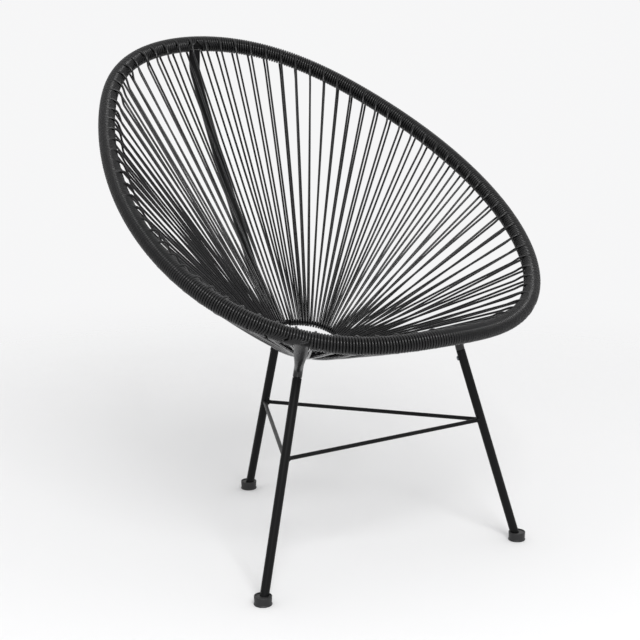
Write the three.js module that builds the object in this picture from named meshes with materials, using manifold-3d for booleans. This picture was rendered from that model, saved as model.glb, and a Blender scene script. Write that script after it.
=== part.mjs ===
// Acapulco chair: a bent steel hoop strung with plastic cord over three tubular legs.
// Millimetres, +Z up, the sitter faces -Y. The origin is on the floor under the middle of the outline.
import * as THREE from 'three';
import { mergeVertices } from 'three/addons/utils/BufferGeometryUtils.js';
import Module from 'manifold-3d';

// Clearances between pieces that touch on the real chair
const seat_gap = 0.3;
const cut_overrun = 5;

// Rim hoop: one bent steel tube, seen from above a rounded pear, from the side a shallow V
const rim_tube_diameter = 22;
const rim_width = 742;
const rim_depth = 845;
const rim_rise = 429;
const rim_front_height = 454;
const rim_front_reach = 302;
const rim_sides = 6;
const rim_steps = 56;
const rim_width_shares = [0.967, -0.035, -0.011, 0.044];
const rim_depth_shares = [-0.019, -0.015, 0.014];
const rim_rise_shares = [0.003, -0.031, 0.021];

// Cord: one diameter everywhere, wound on the rim and strung in loops to the centre ring
const cord_diameter = 4.1;
const cord_arc_steps = 3;
const cord_slant_room = 0.6;
const back_loops = 33;
const front_loops = 14;
const panel_loops = [8, 8, 8, 9, 7, 7, 9, 8, 8, 8];
const pack_rounds = 6;

// Rim wrap: tight turns of the same cord in groups, drawn in where a loop leaves the rim
const wrap_sides = 8;
const wrap_waist = 0.9;

// Centre ring: a steel rod that every loop of cord goes round, a set drop below the rim's front
const ring_radius = 70;
const ring_rod_diameter = 8;
const ring_drop = 92;
const ring_centre_back = 127.4;
const ring_tilt_degrees = 13.9;
const ring_open_degrees = 11.5;
const ring_rod_sides = 8;
const ring_steps = 40;

// Legs: three straight tubes that lean in towards their tops, a set drop below the rim's front
const leg_diameter = 16;
const leg_wall = 1.2;
const leg_sides = 16;
const front_foot_spread = 275.5;
const front_foot_forward = 172;
const front_lean_in_share = 0.2753;
const front_lean_back_share = 0.1398;
const front_leg_drop = 85;
const rear_foot_back = 345.4;
const rear_lean_forward_share = 0.336;
const rear_leg_drop = 128;

// Stretchers: thin rods welded between the legs
const stretcher_diameter = 7.3;
const stretcher_sides = 10;
const stretcher_front_height = 236.1;
const stretcher_rear_height = 200.3;
const stretcher_rear_splay = 1;

// Foot glides: plastic caps with a slanting socket for the leg
const glide_diameter = 32;
const glide_height = 16.5;
const glide_floor = 3;
const glide_sides = 24;
const glide_flange = 2.2;
const glide_edge = 0.8;
const glide_waist = 1.2;
const glide_rim = 0.5;

// Arms and spine: tubes pressed flat where they are welded to the rim, with necked ends that fit the legs
const arm_share = 0.4079;
const arm_width = 24;
const arm_thickness = 10;
const pressed_round_share = 0.5;
const arm_knee_rise = 15;
const arm_knee_radius = 16;
const arm_wide_share = 0.35;
const arm_flat_share = 0.62;
const arm_neck = 1.2;
const arm_steps = [8, 4, 1, 1, 1];
const spigot_length = 30;
const strut_sides = 12;
const spine_diameter = 19;
const spine_head_width = 22.5;
const spine_head_thickness = 10;
const spine_head_length = 42;
const spine_head_back = 2;
const spine_head_radius = 45;
const spine_bow = 11;
const spine_knee_rise = 16.6;
const spine_knee_radius = 26;
const spine_steps = [2, 4, 8, 5, 1];
const tongue_diameter = 7;
const tongue_start_rise = 20;

// Screws: one through each leg tube into the spigot inside it, on the side away from the front
const screw_drop = 14;
const screw_shank = 5;
const screw_head = 9;
const screw_head_height = 2.6;
const screw_depth = 8;
const screw_sides = 12;

// Finishes
const powder_coat = { color: 0x2b2c2e, roughness: 0.45, metalness: 0.35 };
const cord_plastic = { color: 0x2a2b2d, roughness: 0.38, metalness: 0 };
const glide_plastic = { color: 0x1d1d1f, roughness: 0.55, metalness: 0 };
const zinc_steel = { color: 0x8d9094, roughness: 0.35, metalness: 0.9 };

const wasm = await Module();
wasm.setup();
const chair = new THREE.Group();
const full_turn = 2 * Math.PI;
const up_axis = new THREE.Vector3(0, 0, 1);
const way = (from, to) => to.clone().sub(from).normalize();

function add_piece(name, geometry, finish) {
  const mesh = new THREE.Mesh(geometry, new THREE.MeshStandardMaterial(finish));
  mesh.name = name;
  chair.add(mesh);
}

function to_solid(geometry) {
  const bare = geometry.clone();
  bare.deleteAttribute('normal');
  bare.deleteAttribute('uv');
  const merged = mergeVertices(bare);
  return new wasm.Manifold(new wasm.Mesh({
    numProp: 3,
    vertProperties: new Float32Array(merged.attributes.position.array),
    triVerts: new Uint32Array(merged.index.array),
  }));
}

function to_geometry(solid) {
  const mesh = solid.getMesh();
  const geometry = new THREE.BufferGeometry();
  geometry.setAttribute('position', new THREE.BufferAttribute(new Float32Array(mesh.vertProperties), 3));
  geometry.setIndex(new THREE.BufferAttribute(new Uint32Array(mesh.triVerts), 1));
  geometry.computeVertexNormals();
  return geometry;
}

// Cuts every tool geometry away from a body geometry
function cut(body, ...tools) {
  return to_geometry(tools.reduce((left, tool) => left.subtract(to_solid(tool)), to_solid(body)));
}

// Adds the faces of one lofted skin to the lists. Rings run anticlockwise seen against the way of travel.
function loft(rings, closed, points, faces) {
  const start = points.length / 3;
  const count = rings[0].length;
  rings.forEach((ring) => ring.forEach((point) => points.push(point.x, point.y, point.z)));
  const at = (row, column) => start + (row % rings.length) * count + (column % count);
  const spans = closed ? rings.length : rings.length - 1;
  for (let row = 0; row < spans; row += 1) {
    for (let column = 0; column < count; column += 1) {
      faces.push(at(row, column), at(row, column + 1), at(row + 1, column));
      faces.push(at(row, column + 1), at(row + 1, column + 1), at(row + 1, column));
    }
  }
  if (closed) return;
  for (let column = 1; column < count - 1; column += 1) {
    faces.push(at(0, 0), at(0, column + 1), at(0, column));
    faces.push(at(spans, 0), at(spans, column), at(spans, column + 1));
  }
}

// One closed body for each list of rings
function skin(bodies, closed = false) {
  const points = [];
  const faces = [];
  bodies.forEach((rings) => loft(rings, closed, points, faces));
  const geometry = new THREE.BufferGeometry();
  geometry.setAttribute('position', new THREE.BufferAttribute(new Float32Array(points), 3));
  geometry.setIndex(faces);
  geometry.computeVertexNormals();
  return geometry;
}

// A ring round a centre; a round share of 1 is an ellipse and smaller shares flatten its sides
function section(centre, across, along, half_width, half_height, sides, round_share = 1) {
  const bend = (value) => Math.sign(value) * Math.abs(value) ** round_share;
  return Array.from({ length: sides }, (_, index) => {
    const angle = full_turn * index / sides;
    return centre.clone()
      .addScaledVector(across, half_width * bend(Math.cos(angle)))
      .addScaledVector(along, half_height * bend(Math.sin(angle)));
  });
}

// The rim's centre line. Shares of its width, depth and rise shape the round.
const swing = (angle, shares) => 0.5 + (0.5 - shares[1]) * Math.cos(angle)
  + shares[0] * (Math.cos(2 * angle) - 1)
  + shares[1] * Math.cos(3 * angle)
  + shares[2] * (Math.cos(4 * angle) - 1);

class RimCurve extends THREE.Curve {
  getPoint(turn, target = new THREE.Vector3()) {
    const angle = full_turn * turn;
    const side = rim_width_shares.reduce((sum, share, index) => sum + share * Math.sin((index + 1) * angle), 0);
    return target.set(
      side * rim_width / 2,
      rim_depth * swing(angle, rim_depth_shares) - rim_front_reach,
      rim_front_height + rim_rise * swing(angle, rim_rise_shares),
    );
  }
}

const rim_line = new RimCurve();
rim_line.arcLengthDivisions = 1440;
const ring_tilt = THREE.MathUtils.degToRad(ring_tilt_degrees);
const ring_centre = new THREE.Vector3(0, ring_centre_back, rim_front_height - ring_drop);
const ring_axis = new THREE.Vector3(0, -Math.sin(ring_tilt), Math.cos(ring_tilt));
const ring_back = new THREE.Vector3(0, Math.cos(ring_tilt), Math.sin(ring_tilt));
const rim_radius = rim_tube_diameter / 2;
const cord_radius = cord_diameter / 2;
const wrap_radius = rim_radius + cord_diameter;
const rod_radius = ring_rod_diameter / 2;

// A place on the rim: its centre, the way along, the way in to the ring, and the way up from both
function rim_place(share) {
  const turn = ((share % 1) + 1) % 1;
  const centre = rim_line.getPointAt(turn);
  const along = rim_line.getTangentAt(turn).normalize();
  const inward = ring_centre.clone().sub(centre);
  inward.addScaledVector(along, -inward.dot(along)).normalize();
  return { centre, along, inward, up: new THREE.Vector3().crossVectors(inward, along) };
}

const rim_ring = (share, radius, sides) => {
  const place = rim_place(share);
  return section(place.centre, place.up, place.inward, radius, radius, sides);
};

// The steel hoop, or with a larger radius the space that its neighbours leave for it
function rim_tube(radius) {
  const rings = Array.from({ length: rim_steps }, (_, index) => rim_ring(index / rim_steps, radius, rim_sides));
  return skin([rings], true);
}

// Shares of the rim's length at which the loops leave it: back right, front, back left
function loop_shares() {
  const shares = [];
  for (let index = 0; index < back_loops; index += 1) {
    shares.push(arm_share * (index + 0.5) / back_loops);
  }
  for (let index = 0; index < front_loops; index += 1) {
    shares.push(arm_share + (1 - 2 * arm_share) * (index + 0.5) / front_loops);
  }
  for (let index = 0; index < back_loops; index += 1) {
    shares.push(1 - arm_share + arm_share * (index + 0.5) / back_loops);
  }
  return shares;
}

const exit_shares = loop_shares();
const loop_count = exit_shares.length;
const rod_wrap_radius = rod_radius + seat_gap + cord_slant_room + cord_radius;

function ring_point(angle, radius = ring_radius) {
  return ring_centre.clone()
    .addScaledVector(ring_back, radius * Math.cos(angle))
    .addScaledVector(new THREE.Vector3(1, 0, 0), radius * Math.sin(angle));
}

// How a loop lies on the ring: where it crosses, the way out to the rim in the ring's plane, and its slopes
function ring_hold(index, angle) {
  const hold = ring_point(angle);
  const outward = rim_place(exit_shares[index]).centre.sub(hold);
  const climb = outward.dot(ring_axis);
  outward.addScaledVector(ring_axis, -climb);
  const slope = Math.atan2(climb, outward.length());
  outward.normalize();
  const bulge = rod_wrap_radius / Math.cos(Math.PI / (2 * cord_arc_steps));
  return { hold, outward, slope, bulge, depth: bulge / outward.dot(way(ring_centre, hold)) };
}

// Loops are spread until they lie evenly side by side where they are tightest, on the ring's inner side
function ring_angles() {
  const open = THREE.MathUtils.degToRad(ring_open_degrees);
  let spans = new Array(loop_count - 1).fill((full_turn - open) / (loop_count - 1));
  const angles_from = (list) => list.reduce((angles, span) => [...angles, angles.at(-1) + span], [open / 2]);
  for (let round = 0; round < pack_rounds; round += 1) {
    const holds = angles_from(spans).map((angle, index) => ring_hold(index, angle));
    const inner = holds.map(({ hold, outward, depth }) => hold.clone().addScaledVector(outward, -depth));
    const sizes = spans.map((span, index) => {
      const sideways = new THREE.Vector3().crossVectors(ring_axis, holds[index].outward);
      return span / Math.abs(inner[index + 1].clone().sub(inner[index]).dot(sideways));
    });
    const whole = sizes.reduce((sum, size) => sum + size, 0);
    spans = sizes.map((size) => (full_turn - open) * size / whole);
  }
  return angles_from(spans);
}

const loop_angles = ring_angles();

// Where a strand leaves the wrap, straight in from the top or bottom of the turns
function strand_end(place, side) {
  return place.centre.clone()
    .addScaledVector(place.up, side * (wrap_radius - cord_radius))
    .addScaledVector(place.inward, wrap_radius * Math.SQRT1_2 + cord_radius);
}

// One loop of cord: from the rim over the ring, round its inner side, and back under it to the rim
function loop_route(index) {
  const place = rim_place(exit_shares[index]);
  const { outward, hold, slope, bulge, depth } = ring_hold(index, loop_angles[index]);
  const round = Array.from({ length: cord_arc_steps + 1 }, (_, step) => {
    const angle = slope + Math.PI * step / cord_arc_steps;
    return hold.clone()
      .addScaledVector(ring_axis, bulge * Math.cos(angle))
      .addScaledVector(outward, -depth * Math.sin(angle));
  });
  return [strand_end(place, 1), ...round, strand_end(place, -1)];
}

// Square rings for a cord along a route, mitred at each bend; each ring starts on the outer side
function cord_rings(route) {
  const last = route.length - 1;
  const bend_axis = new THREE.Vector3().crossVectors(way(route[0], route[1]), ring_axis).normalize();
  return route.map((point, index) => {
    const before = index === 0 ? way(point, route[1]) : way(route[index - 1], point);
    const after = index === last ? before : way(point, route[index + 1]);
    const travel = before.clone().add(after).normalize();
    const outer = new THREE.Vector3().crossVectors(bend_axis, travel).normalize();
    const beside = new THREE.Vector3().crossVectors(outer, travel).multiplyScalar(cord_radius);
    outer.multiplyScalar(cord_radius / before.dot(travel));
    return [
      point.clone().add(outer).sub(beside),
      point.clone().sub(outer).sub(beside),
      point.clone().sub(outer).add(beside),
      point.clone().add(outer).add(beside),
    ];
  });
}

// A panel is one stretch of wrap with its loops growing out of it, as the real cord does.
// Each loop leaves between two rows of the wrap: the strand over the ring from the wrap's top
// inner face, and the strand under the ring from its bottom inner face.
function panel_body(first, count, routes) {
  const points = [];
  const faces = [];
  const add_ring = (ring) => ring.map((point) => points.push(point.x, point.y, point.z) / 3 - 1);
  const join = (from, to, skipped = []) => from.forEach((_, column) => {
    if (skipped.includes(column)) return;
    const next = (column + 1) % from.length;
    faces.push(from[column], from[next], to[column], from[next], to[next], to[column]);
  });
  const half_cord = cord_radius / rim_line.getLength();
  const half_gap = seat_gap / 2 / rim_line.getLength();
  const edge_radius = wrap_radius - wrap_waist / 2;
  const top_face = 0;
  const bottom_face = wrap_sides / 2 - 1;
  const start = add_ring(rim_ring(loop_edge(first) + half_gap, edge_radius, wrap_sides));
  let row = start;
  for (let index = first; index < first + count; index += 1) {
    const near = add_ring(rim_ring(exit_shares[index] - half_cord, wrap_radius, wrap_sides));
    const far = add_ring(rim_ring(exit_shares[index] + half_cord, wrap_radius - wrap_waist, wrap_sides));
    join(row, near);
    join(near, far, [top_face, bottom_face]);
    const strand = cord_rings(routes[index]).map(add_ring);
    join([near[top_face], near[top_face + 1], far[top_face + 1], far[top_face]], strand[0]);
    strand.slice(1).forEach((ring, step) => join(strand[step], ring));
    join(strand.at(-1), [near[bottom_face + 1], near[bottom_face], far[bottom_face], far[bottom_face + 1]]);
    row = far;
  }
  const end = add_ring(rim_ring(loop_edge(first + count) - half_gap, edge_radius, wrap_sides));
  join(row, end);
  for (let column = 1; column < wrap_sides - 1; column += 1) {
    faces.push(start[0], start[column + 1], start[column], end[0], end[column], end[column + 1]);
  }
  const geometry = new THREE.BufferGeometry();
  geometry.setAttribute('position', new THREE.BufferAttribute(new Float32Array(points), 3));
  geometry.setIndex(faces);
  return geometry;
}

// The share of the rim's length midway between one loop and the one before it
function loop_edge(index) {
  if (index === 0) return 0;
  if (index === loop_count) return 1;
  if (index === back_loops) return arm_share;
  if (index === loop_count - back_loops) return 1 - arm_share;
  return (exit_shares[index - 1] + exit_shares[index]) / 2;
}

const straights = (route) => route.slice(1).map((point, index) => new THREE.Line3(route[index], point));

// The least distance between two sets of straight stretches, from points along the first
function least_distance(first, second, samples = 24) {
  const near = new THREE.Vector3();
  const point = new THREE.Vector3();
  let least = Infinity;
  first.forEach((stretch) => second.forEach((other) => {
    for (let step = 0; step <= samples; step += 1) {
      stretch.at(step / samples, point);
      least = Math.min(least, other.closestPointToPoint(point, true, near).distanceTo(point));
    }
  }));
  return least;
}

function add_cords(spaces) {
  const routes = exit_shares.map((_, index) => loop_route(index));
  const stretches = routes.map(straights);
  const between = stretches.map((own, index) => least_distance(own, stretches[(index + 1) % loop_count]));
  const within = stretches.map((own) => least_distance(own.slice(0, 2), own.slice(-2)));
  console.log(`least gap between loops ${(Math.min(...between) - cord_diameter).toFixed(2)} mm`);
  console.log(`least gap of a loop to itself ${(Math.min(...within) - cord_diameter).toFixed(2)} mm`);
  let first = 0;
  panel_loops.forEach((count, number) => {
    add_piece(`cord_panel_${number + 1}`, cut(panel_body(first, count, routes), ...spaces), cord_plastic);
    first += count;
  });
}

// A straight tube between two points, with its ends square or cut level at a height
function round_bar(from, to, radius, sides, foot_height = null, bore = 0) {
  const travel = to.clone().sub(from).normalize();
  const across = new THREE.Vector3().crossVectors(up_axis, travel).normalize();
  const along = new THREE.Vector3().crossVectors(travel, across);
  const ring = (centre, size, level) => section(centre, across, along, size, size, sides).map((point) => {
    if (level) point.addScaledVector(travel, (foot_height - point.z) / travel.z);
    return point;
  });
  const level = foot_height !== null;
  const outside = [ring(from, radius, level), ring(to, radius, false)];
  if (bore === 0) return skin([outside]);
  return skin([[...outside, ring(to, bore, false), ring(from, bore, level)]], true);
}

// Each leg's line: its foot on the floor and the way up it for each unit of height
const legs = [
  {
    name: 'front_left',
    foot: new THREE.Vector3(-front_foot_spread, -front_foot_forward, 0),
    rise: new THREE.Vector3(front_lean_in_share, front_lean_back_share, 1),
    top: rim_front_height - front_leg_drop,
    screw_side: new THREE.Vector3(1, 1, 0),
  },
  {
    name: 'front_right',
    foot: new THREE.Vector3(front_foot_spread, -front_foot_forward, 0),
    rise: new THREE.Vector3(-front_lean_in_share, front_lean_back_share, 1),
    top: rim_front_height - front_leg_drop,
    screw_side: new THREE.Vector3(-1, 1, 0),
  },
  {
    name: 'rear',
    foot: new THREE.Vector3(0, rear_foot_back, 0),
    rise: new THREE.Vector3(0, -rear_lean_forward_share, 1),
    top: rim_front_height - rear_leg_drop,
    screw_side: new THREE.Vector3(0, 1, 0),
  },
];
const leg_radius = leg_diameter / 2;
const spigot_radius = leg_radius - leg_wall - seat_gap;

const leg_point = (leg, height) => leg.foot.clone().addScaledVector(leg.rise, height);

function leg_body(leg, growth, bore) {
  const low = glide_floor + seat_gap - growth;
  return round_bar(leg.foot, leg_point(leg, leg.top + growth), leg_radius + growth, leg_sides, low, bore);
}

// The screw's axis crosses the leg's line square, a set drop below the leg's top
function screw_line(leg) {
  const travel = leg.rise.clone().normalize();
  const out = leg.screw_side.clone().addScaledVector(travel, -leg.screw_side.dot(travel)).normalize();
  return { centre: leg_point(leg, leg.top - screw_drop), out };
}

function screw_hole(leg) {
  const { centre, out } = screw_line(leg);
  const deep = centre.clone().addScaledVector(out, leg_radius - screw_depth - seat_gap);
  const mouth = centre.clone().addScaledVector(out, leg_radius + cut_overrun);
  return round_bar(deep, mouth, screw_shank / 2 + seat_gap, screw_sides);
}

function screw_body(leg) {
  const { centre, out } = screw_line(leg);
  const profile = [
    [0, -screw_depth],
    [screw_shank / 2, -screw_depth],
    [screw_shank / 2, seat_gap],
    [screw_head / 2, seat_gap],
    [screw_head / 2, seat_gap + screw_head_height / 2],
    [screw_head / 3, seat_gap + screw_head_height],
    [0, seat_gap + screw_head_height],
  ].map(([radius, height]) => new THREE.Vector2(radius, height));
  const geometry = new THREE.LatheGeometry(profile, screw_sides);
  geometry.applyQuaternion(new THREE.Quaternion().setFromUnitVectors(new THREE.Vector3(0, 1, 0), out));
  const seat = centre.clone().addScaledVector(out, leg_radius);
  geometry.translate(seat.x, seat.y, seat.z);
  return to_geometry(to_solid(geometry));
}

// A glide is a shallow plastic cup with a thin flange at the floor and a lip round its top
function glide_body(leg) {
  const outer = glide_diameter / 2;
  const waist = outer - glide_waist;
  const profile = [
    [0, 0],
    [outer - glide_edge, 0],
    [outer, glide_edge],
    [outer, glide_flange],
    [waist, glide_flange + glide_edge],
    [outer - glide_rim, glide_height - glide_edge],
    [outer - glide_rim - glide_edge, glide_height],
    [0, glide_height],
  ].map(([radius, height]) => new THREE.Vector2(radius, height));
  const geometry = new THREE.LatheGeometry(profile, glide_sides);
  geometry.rotateX(Math.PI / 2);
  geometry.translate(leg.foot.x, leg.foot.y, 0);
  return cut(geometry, leg_body(leg, seat_gap, 0));
}

// A tube along joined curves, each with its number of steps, whose section goes from pressed flat to round
function pressed_tube(curves, steps, flat_way, shape) {
  const rings = [];
  let run = 0;
  curves.forEach((curve, number) => {
    const from = number === 0 ? 0 : 1;
    for (let index = from; index <= steps[number]; index += 1) {
      const share = index / steps[number];
      const travel = curve.getTangentAt(share);
      const width_way = flat_way.clone().addScaledVector(travel, -flat_way.dot(travel)).normalize();
      const depth_way = new THREE.Vector3().crossVectors(travel, width_way);
      const { width, thickness, round_share } = shape(run + curve.getLength() * share);
      const centre = curve.getPointAt(share);
      rings.push(section(centre, width_way, depth_way, width / 2, thickness / 2, strut_sides, round_share));
    }
    run += curve.getLength();
  });
  return skin([rings]);
}

// How far before its corner a bend of this radius starts
const bend_reach = (from, corner, to, radius) => radius * Math.tan(way(from, corner).angleTo(way(corner, to)) / 2);

const blend = (from, to, share) => from + (to - from) * THREE.MathUtils.smoothstep(share, 0, 1);

// An arm runs from the rim's underside down to its leg and ends in a spigot inside the tube
function arm_body(leg, growth) {
  const side = Math.sign(leg.foot.x);
  const place = rim_place(side > 0 ? arm_share : 1 - arm_share);
  const corner = leg_point(leg, leg.top + arm_knee_rise);
  const neck = leg_point(leg, leg.top + seat_gap + arm_neck);
  const shoulder = leg_point(leg, leg.top + seat_gap);
  const end = leg_point(leg, leg.top - spigot_length);
  const reach = bend_reach(place.centre, corner, end, arm_knee_radius);
  const bend_start = corner.clone().addScaledVector(way(corner, place.centre), reach);
  const bend_end = corner.clone().addScaledVector(way(corner, end), reach);
  const curves = [
    new THREE.LineCurve3(place.centre, bend_start),
    new THREE.QuadraticBezierCurve3(bend_start, corner, bend_end),
    new THREE.LineCurve3(bend_end, neck),
    new THREE.LineCurve3(neck, shoulder),
    new THREE.LineCurve3(shoulder, end),
  ];
  const taper = place.centre.distanceTo(corner) - reach;
  const neck_start = curves.slice(0, 3).reduce((sum, curve) => sum + curve.getLength(), 0);
  return pressed_tube(curves, arm_steps, place.along, (distance) => {
    const share = distance / taper;
    const narrow = (share - arm_wide_share) / (1 - arm_wide_share);
    const round = (share - arm_flat_share) / (1 - arm_flat_share);
    const necked = Math.min(Math.max((distance - neck_start) / curves[3].getLength(), 0), 1);
    const stem = THREE.MathUtils.lerp(leg_diameter, 2 * spigot_radius, necked);
    return {
      width: blend(arm_width, stem, narrow) + 2 * growth,
      thickness: blend(arm_thickness, stem, round) + 2 * growth,
      round_share: blend(pressed_round_share, 1, round),
    };
  });
}

// The spine's corners: under the rim's top, the pull of its bow, and the knee over the rear leg
function spine_corners(leg) {
  const rim_top = rim_line.getPointAt(0);
  const head = new THREE.Vector3(0, rim_top.y + spine_head_back, rim_top.z - rim_radius - spine_head_length);
  const knee = leg_point(leg, leg.top + spine_knee_rise);
  const chord = way(head, knee);
  const bow = head.clone().lerp(knee, 0.5).addScaledVector(new THREE.Vector3(0, -chord.z, chord.y), 2 * spine_bow);
  return { rim_top, head, bow, knee, end: leg_point(leg, leg.top - spigot_length) };
}

// The spine drops from the rim's top, bows along the back and turns down into the rear leg
function spine_body(leg, growth) {
  const { rim_top, head, bow, knee, end } = spine_corners(leg);
  const head_reach = bend_reach(rim_top, head, bow, spine_head_radius);
  const knee_reach = bend_reach(bow, knee, end, spine_knee_radius);
  const head_start = head.clone().addScaledVector(way(head, rim_top), head_reach);
  const head_end = head.clone().addScaledVector(way(head, bow), head_reach);
  const knee_start = knee.clone().addScaledVector(way(knee, bow), knee_reach);
  const knee_end = knee.clone().addScaledVector(way(knee, end), knee_reach);
  const curves = [
    new THREE.LineCurve3(rim_top, head_start),
    new THREE.QuadraticBezierCurve3(head_start, head, head_end),
    new THREE.QuadraticBezierCurve3(head_end, bow, knee_start),
    new THREE.QuadraticBezierCurve3(knee_start, knee, knee_end),
    new THREE.LineCurve3(knee_end, end),
  ];
  const neck_start = curves.slice(0, 3).reduce((sum, curve) => sum + curve.getLength(), 0);
  const head_run = rim_top.distanceTo(head);
  return pressed_tube(curves, spine_steps, new THREE.Vector3(1, 0, 0), (distance) => {
    const flat = (distance - head_run / 2) / head_run;
    const neck = (distance - neck_start) / curves[3].getLength();
    const round = blend(spine_diameter, 2 * spigot_radius, neck);
    return {
      width: blend(spine_head_width, round, flat) + 2 * growth,
      thickness: blend(spine_head_thickness, round, flat) + 2 * growth,
      round_share: blend(pressed_round_share, 1, flat),
    };
  });
}

function ring_body(growth) {
  const radius = rod_radius + growth;
  const rings = Array.from({ length: ring_steps }, (_, index) => {
    const angle = full_turn * index / ring_steps;
    const outward = ring_point(angle).sub(ring_centre).normalize();
    return section(ring_point(angle), outward, ring_axis, radius, radius, ring_rod_sides);
  });
  return skin([rings], true);
}

function stretcher_body(from_leg, to_leg, from_height, to_height, splay) {
  const from = leg_point(from_leg, from_height);
  const to = leg_point(to_leg, to_height);
  to.x += splay;
  const bar = round_bar(from, to, stretcher_diameter / 2, stretcher_sides);
  return cut(bar, leg_body(from_leg, seat_gap, 0), leg_body(to_leg, seat_gap, 0));
}

const [front_left, front_right, rear] = legs;
const rim_space = rim_tube(rim_radius + seat_gap);

add_piece('rim_hoop', rim_tube(rim_radius), powder_coat);
add_piece('centre_ring', ring_body(0), powder_coat);
add_piece('spine_tube', cut(spine_body(rear, 0), rim_space, screw_hole(rear)), powder_coat);

const { bow, knee } = spine_corners(rear);
const tongue_start = knee.clone().addScaledVector(way(knee, bow), tongue_start_rise);
add_piece('ring_tongue', cut(round_bar(tongue_start, ring_point(0), tongue_diameter / 2, stretcher_sides),
  spine_body(rear, seat_gap), ring_body(seat_gap)), powder_coat);

[front_left, front_right].forEach((leg) => {
  add_piece(`arm_${leg.name}`, cut(arm_body(leg, 0), rim_space, screw_hole(leg)), powder_coat);
});
legs.forEach((leg) => {
  add_piece(`leg_${leg.name}`, cut(leg_body(leg, 0, leg_radius - leg_wall), screw_hole(leg)), powder_coat);
  add_piece(`foot_glide_${leg.name}`, glide_body(leg), glide_plastic);
  add_piece(`leg_screw_${leg.name}`, screw_body(leg), zinc_steel);
});
add_piece('stretcher_front', stretcher_body(front_left, front_right, stretcher_front_height,
  stretcher_front_height, 0), powder_coat);
add_piece('stretcher_left', stretcher_body(front_left, rear, stretcher_front_height,
  stretcher_rear_height, -stretcher_rear_splay), powder_coat);
add_piece('stretcher_right', stretcher_body(front_right, rear, stretcher_front_height,
  stretcher_rear_height, stretcher_rear_splay), powder_coat);
add_cords([
  rim_space,
  arm_body(front_left, seat_gap),
  arm_body(front_right, seat_gap),
  spine_body(rear, seat_gap),
]);

// The origin goes to the floor, midway between the outline's front and back
const outline = new THREE.Box3().setFromObject(chair);
chair.position.y = -(outline.min.y + outline.max.y) / 2;

export default chair;
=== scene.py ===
"""Acapulco chair: a bent steel hoop strung with plastic cord over three tubular legs.

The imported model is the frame. The cord, the hoop, the tubes, the rods, the foot glides
and the screws are made here round it, with their finishes, and a plain pale stage.
Lengths are metres, +Z is up and the sitter faces -Y.
"""
import math

import bpy
import numpy as np
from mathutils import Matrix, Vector


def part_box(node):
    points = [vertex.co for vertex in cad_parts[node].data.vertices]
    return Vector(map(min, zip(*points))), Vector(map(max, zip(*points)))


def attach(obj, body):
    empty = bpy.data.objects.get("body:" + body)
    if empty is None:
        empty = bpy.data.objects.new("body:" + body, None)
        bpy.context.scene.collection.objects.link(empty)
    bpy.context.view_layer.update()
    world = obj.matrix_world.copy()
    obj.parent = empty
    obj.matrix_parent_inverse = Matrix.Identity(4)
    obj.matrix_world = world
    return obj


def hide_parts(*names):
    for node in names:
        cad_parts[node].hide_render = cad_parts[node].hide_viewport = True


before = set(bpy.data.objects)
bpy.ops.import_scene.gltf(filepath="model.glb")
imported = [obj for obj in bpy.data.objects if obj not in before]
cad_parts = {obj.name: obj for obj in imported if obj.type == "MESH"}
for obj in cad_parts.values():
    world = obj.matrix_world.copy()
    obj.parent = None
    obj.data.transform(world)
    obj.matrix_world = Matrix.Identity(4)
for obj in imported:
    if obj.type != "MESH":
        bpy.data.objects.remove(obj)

bl_info = {
    "name": "Acapulco chair",
    "version": (1, 0, 0),
    "blender": (4, 5, 0),
    "location": "View3D > Sidebar > Chair",
    "description": "Cord, frame tubes, glides, screws and stage of an acapulco chair",
    "category": "Object",
}

MM = 0.001
FULL_TURN = 2 * math.pi
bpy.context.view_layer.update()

# The hoop's round, as shares of its width, depth and rise
WIDTH_SHARES = (0.967, -0.035, -0.011, 0.044)
DEPTH_SHARES = (-0.019, -0.015, 0.014)
RISE_SHARES = (0.003, -0.031, 0.021)
HOOP_WIDTH = 742 * MM
HOOP_DEPTH = 845 * MM
HOOP_RISE = 429 * MM
HOOP_FRONT_HEIGHT = 454 * MM
HOOP_FRONT_REACH = 302 * MM
TABLE_STEPS = 2880
TANGENT_STEP = 0.0005

# Loops on each side of the back, loops over the front, and loops in each panel of cord
BACK_LOOPS = 33
FRONT_LOOPS = 14
LOOP_COUNT = 2 * BACK_LOOPS + FRONT_LOOPS
PANEL_LOOPS = (8, 8, 8, 9, 7, 7, 9, 8, 8, 8)
ARM_SHARE = 0.4079

# The rod ring that the loops go round
RING_RADIUS = 70 * MM
RING_HEIGHT = 362 * MM
RING_BACK = 127.4 * MM
RING_TILT = math.radians(13.9)
RING_OPEN = math.radians(11.5)
RING_SLACK = 0.1 * MM
PACK_ROUNDS = 6

# How the cord is laid: its seed, the steps of a strand and of its arc round the ring, and where it lifts
SEED = 7
HEADING_STEP = 0.02
ARCH_STEPS = 8
ARCH_HANDLE = 0.4
RUN_STEPS = 8
ARC_POINTS = 9
THINNING_STEPS = 6
INNER_SPREAD = 0.1
RISE_SPREAD = (0.8, 1.25)
LIFT_SIDE = 250 * MM
LIFT_FRONT = 360 * MM
LIFT_FADE = 200 * MM

# How far round the hoop the turns bow aside at an arm or the spine
BOW_TURN = math.radians(38)
BOW_REACH = math.radians(115)
BOW_FADE = math.radians(50)

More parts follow.
